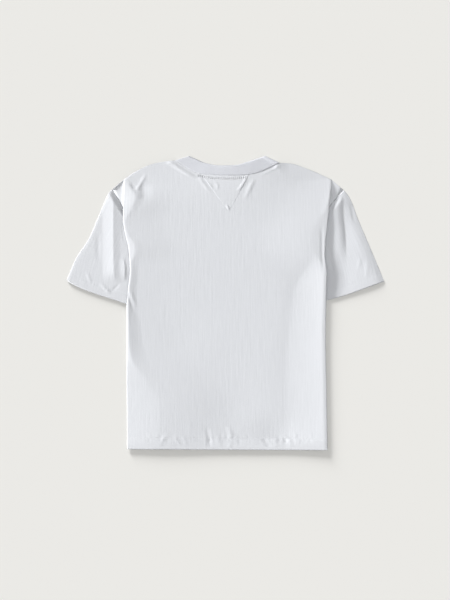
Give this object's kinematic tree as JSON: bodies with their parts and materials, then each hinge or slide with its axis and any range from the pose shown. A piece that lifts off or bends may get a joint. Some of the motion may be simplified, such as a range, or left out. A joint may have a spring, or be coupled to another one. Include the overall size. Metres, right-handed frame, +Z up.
{
  "type": "t-shirt laid flat",
  "caption": "Boxy short-sleeved white cotton T-shirt, laid flat on its front with its body's sides tucked under and a sewn triangle below its back neckline.",
  "frame": {"origin": "on the surface that the shirt lies on, under the middle of the body", "axes": "+X to the right across the sleeves with the back up, +Y from the hem to the neck, +Z up from the surface"},
  "size_m": [0.6989, 0.6471, 0.0142],
  "materials": {
    "white_jersey": "fine matt cotton jersey",
    "white_rib": "matt cotton rib"
  },
  "bodies": {
    "root": {"back_panel": "white_jersey", "front_panel": "white_jersey", "sleeve_left": "white_jersey", "sleeve_right": "white_jersey", "neck_gusset": "white_jersey", "neckband": "white_rib"}
  },
  "joints": []
}
